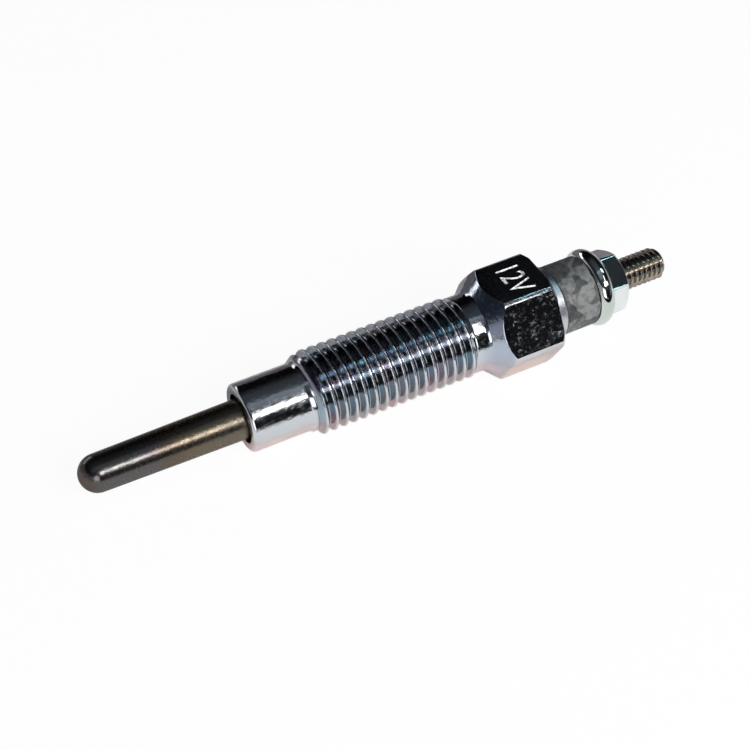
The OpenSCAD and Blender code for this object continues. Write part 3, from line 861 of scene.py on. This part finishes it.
def soft_box(name, place, width, height, power, tone="#FFFFFF", aim_x=MIDDLE_X):
    """Area lamp at a place in mm, facing a point on the plug's axis, with its width along the plug."""
    lamp = bpy.data.lights.new(name, "AREA")
    lamp.shape, lamp.size, lamp.size_y = "RECTANGLE", width * MM, height * MM
    lamp.energy, lamp.color = power, colour(tone)[:3]
    rig = bpy.data.objects.new(name, lamp)
    scene.collection.objects.link(rig)
    place = Vector(place) * MM
    back = (place - on_axis(aim_x, 0)).normalized()
    side = (Vector((1, 0, 0)) - back * back.x).normalized()
    facing = Matrix((side, back.cross(side), back)).transposed().to_4x4()
    rig.matrix_world = Matrix.Translation(place) @ facing
    return rig


fill = soft_box("polarised_fill", (145, -426, 230), width=300, height=300, power=2.5)
fill.visible_glossy = False
soft_box("cool_top_light", (331, -60, 387), width=160, height=80, power=0.26, tone="#A8DAE8")
soft_box("low_edge_light", (-207, -434, 101), width=220, height=220, power=0.4)
soft_box("back_soft_box", (-130, 430, 140), width=300, height=70, power=0.16)

# %% [markdown]
# ## The key row
# A bright line runs along the whole plug. One long soft box would draw it, but the tube's oxide mirrors
# little and the zinc much, so no single brightness suits both. A row of boxes is used instead, each as
# bright as the stretch of the plug that mirrors it needs. The power follows from the radiance and the area.

# %% Key row
KEY_DISTANCE = 446
KEY_ROW = [
    {"over": "tube", "x": (24, 79), "rise_deg": 39.6, "height": 92, "radiance": 20.5},
    {"over": "nose", "x": (79, 142), "rise_deg": 39.6, "height": 92, "radiance": 0.5},
    {"over": "thread", "x": (142, 215), "rise_deg": 41.4, "height": 70, "radiance": 13},
    {"over": "stud", "x": (215, 442), "rise_deg": 39.4, "height": 76, "radiance": 4.4},
    {"over": "thread_edge", "x": (180, 225), "rise_deg": 56, "height": 110, "radiance": 4},
]
for box in KEY_ROW:
    middle, width = sum(box["x"]) / 2, box["x"][1] - box["x"][0]
    rise = math.radians(box["rise_deg"])
    place = (middle, -KEY_DISTANCE * math.cos(rise), KEY_DISTANCE * math.sin(rise))
    power = box["radiance"] * math.pi * width * MM * box["height"] * MM
    soft_box("key_over_" + box["over"], place, width, box["height"], power, aim_x=middle)

# %% [markdown]
# ## Cards
# Along both its long rims the plug mirrors the white sheet beside it, which would wash out its outline.
# Darker paint would change the whole plug, so low cards are set beside it, as photographers do with small
# polished things: a grey one behind and a black one in front.
# Only mirror reflections see them: they are in no picture and cast no shadow.

# %% Stand the cards
CARD_SPAN, CARD_LOW = (-110, 150), -9


def stand_card(name, y, top, tone):
    """Low upright card along the plug, which only the metal's reflections see."""
    sheet = bmesh.new()
    corners = [(CARD_SPAN[0], CARD_LOW), (CARD_SPAN[1], CARD_LOW), (CARD_SPAN[1], top), (CARD_SPAN[0], top)]
    sheet.faces.new([sheet.verts.new((x * MM, y * MM, z * MM)) for x, z in corners])
    mesh = bpy.data.meshes.new(name)
    sheet.to_mesh(mesh)
    sheet.free()
    material, tree, shader, _ = new_material(name)
    connect(tree, shader, {"Base Color": colour(tone), "Roughness": 0.9})
    mesh.materials.append(material)
    card = bpy.data.objects.new(name, mesh)
    card.visible_camera = card.visible_diffuse = card.visible_shadow = False
    scene.collection.objects.link(card)
    print(name, "stands at y", y, "mm")


stand_card("grey_card", y=40, top=11, tone="#645F64")
stand_card("black_card", y=-38, top=1, tone="#1C1C1E")

# %% [markdown]
# ## The room
# The rest of what the metal mirrors is a dark studio, with a pale wall to the left, a low pale one to the
# right and grey bands overhead. A panorama picture could stand for it, but a few ramps show what lights what:
# one on the swing from the front over the top to the back, and one on the height for each side wall.
# The camera itself sees white, as it does on the sheet.

# %% Room ramps
world = bpy.data.worlds.new("dark_studio")
scene.world = world
world.use_nodes = True
tree = world.node_tree
direction = add(tree, "ShaderNodeTexCoord").outputs["Generated"]
towards = add(tree, "ShaderNodeSeparateXYZ", {"Vector": direction}).outputs
front = add(tree, "ShaderNodeMath", {0: towards["Y"], 1: -1}, operation="MULTIPLY")
swing = add(tree, "ShaderNodeMath", {0: towards["Z"], 1: front}, operation="ARCTAN2")
over = add(tree, "ShaderNodeMapRange", {"Value": swing, "From Max": math.pi})
room = add(tree, "ShaderNodeValToRGB", {"Fac": over})
set_ramp(room, [(0.0, "#161617"), (0.09, "#161618"), (0.18, "#404244"), (0.29, "#44474A"), (0.33, "#787E84"),
                (0.4, "#72787E"), (0.43, "#A0A9B3"), (0.46, "#484C51"), (0.52, "#40444A"), (0.64, "#36393C"),
                (0.70, "#1E2022"), (0.745, "#0A0A0B"), (1.0, "#0C0C0D")])
right_wall = add(tree, "ShaderNodeValToRGB", {"Fac": towards["Z"]})
set_ramp(right_wall, [(0.0, "#9593A0"), (0.12, "#84868F"), (0.24, "#2C2F34"), (0.4, "#15171A"),
                      (1.0, "#15171A")])
left_wall = add(tree, "ShaderNodeValToRGB", {"Fac": towards["Z"]})
set_ramp(left_wall, [(0.0, "#ADABB6"), (0.15, "#ADABB6"), (0.3, "#A8AAB6"), (0.4, "#3A424C"),
                     (0.58, "#20252C"), (1.0, "#15171A")])
print("room:", len(room.color_ramp.elements), "tones from front to back")

# %% Put the room together
SIDES = {"right": ("X", 0.52, 0.75), "left": ("X", -0.5, -0.68), "past_nut": ("X", 0.38, 0.43),
         "high": ("Z", 0.5, 0.65)}
DARK_CEILING, BACKDROP = "#15171A", "#FCFCFC"

share = {}
for name, (axis, none, full) in SIDES.items():
    share[name] = add(tree, "ShaderNodeMapRange", {"Value": towards[axis], "From Min": none,
                                                   "From Max": full})
over_nut = add(tree, "ShaderNodeMath", {0: share["past_nut"], 1: share["high"]}, operation="MULTIPLY")
camera_rays = add(tree, "ShaderNodeLightPath").outputs["Is Camera Ray"]
view = room
for part, tone in [(share["right"], right_wall), (share["left"], left_wall), (over_nut, colour(DARK_CEILING)),
                   (camera_rays, colour(BACKDROP))]:
    view = add(tree, "ShaderNodeMix", {0: part, 6: view, 7: tone}, data_type="RGBA")
connect(tree, tree.nodes["Background"], {"Color": view})
print("room:", len(tree.nodes), "nodes")

# %% [markdown]
# ## Camera
# The view was fitted to the photograph: the direction from the plug, the distance, the roll and the field of
# view. It could be set by eye, but a fitted view lets every edge be compared with the photograph.

# %% Place the camera
IMAGE_PX, FOCAL_PX, SENSOR_MM = 750, 1643.8, 36
AZIMUTH_DEG, ELEVATION_DEG, ROLL_DEG, DISTANCE = 26.468, 44.665, -1.4865, 188.68
FRAME_RIGHT, FRAME_UP, CLIP_START = 2.774, 1.852, 10

azimuth, elevation, roll = (math.radians(value) for value in (AZIMUTH_DEG, ELEVATION_DEG, ROLL_DEG))
back = Vector((-math.sin(azimuth) * math.cos(elevation), -math.cos(azimuth) * math.cos(elevation),
               math.sin(elevation)))
level = Vector((0, 0, 1)).cross(back).normalized()
right = Matrix.Rotation(roll, 3, back) @ level
up = back.cross(right)
eye = on_axis(MIDDLE_X, 0) + (back * DISTANCE - right * FRAME_RIGHT - up * FRAME_UP) * MM
lens = bpy.data.cameras.new("photo_view")
lens.sensor_width, lens.lens = SENSOR_MM, FOCAL_PX * SENSOR_MM / IMAGE_PX
lens.clip_start = CLIP_START * MM
camera = bpy.data.objects.new("photo_view", lens)
scene.collection.objects.link(camera)
camera.matrix_world = Matrix.Translation(eye) @ Matrix((right, up, back)).transposed().to_4x4()
scene.camera = camera
print("camera at", [round(value / MM, 1) for value in eye], "mm, lens", round(lens.lens, 2), "mm")

# %% [markdown]
# ## Last update
# The view layer is updated once more.

# %% Update the view layer
bpy.context.view_layer.update()
